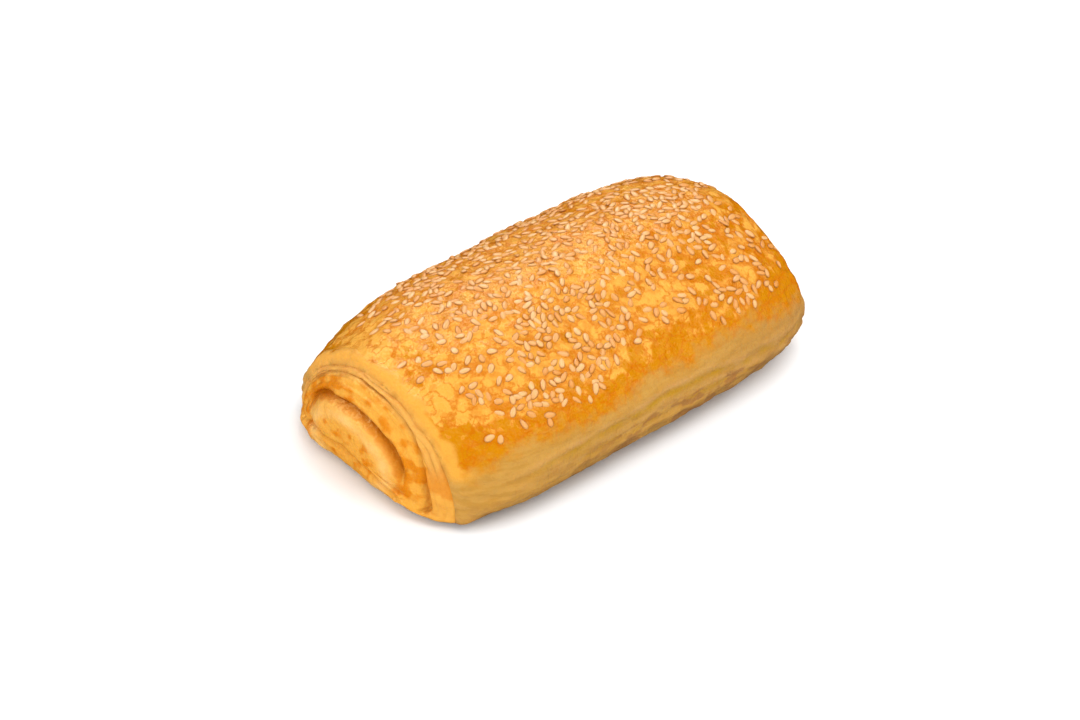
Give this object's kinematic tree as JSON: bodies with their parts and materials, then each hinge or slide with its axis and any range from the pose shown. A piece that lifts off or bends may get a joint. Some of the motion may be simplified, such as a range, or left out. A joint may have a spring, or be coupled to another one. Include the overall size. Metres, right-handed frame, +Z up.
{
  "type": "cheese pastry",
  "caption": "Baked puff-pastry roll: a flattened loaf with swollen spiral ends, a fold along each side and sesame seeds baked onto the glazed top.",
  "frame": {"origin": "centre of the bounding box, on the floor the pastry rests on", "axes": "+X along the roll from the pictured spiral end to the hidden one, +Z up, so the roll's long sides face +Y and -Y"},
  "size_m": [0.1384, 0.0794, 0.0423],
  "materials": {
    "crust": "egg-glazed golden crust on top, paler matte dough low on the sides, toasted cream sesame seeds"
  },
  "bodies": {
    "root": {"pastry": "crust"}
  },
  "joints": []
}
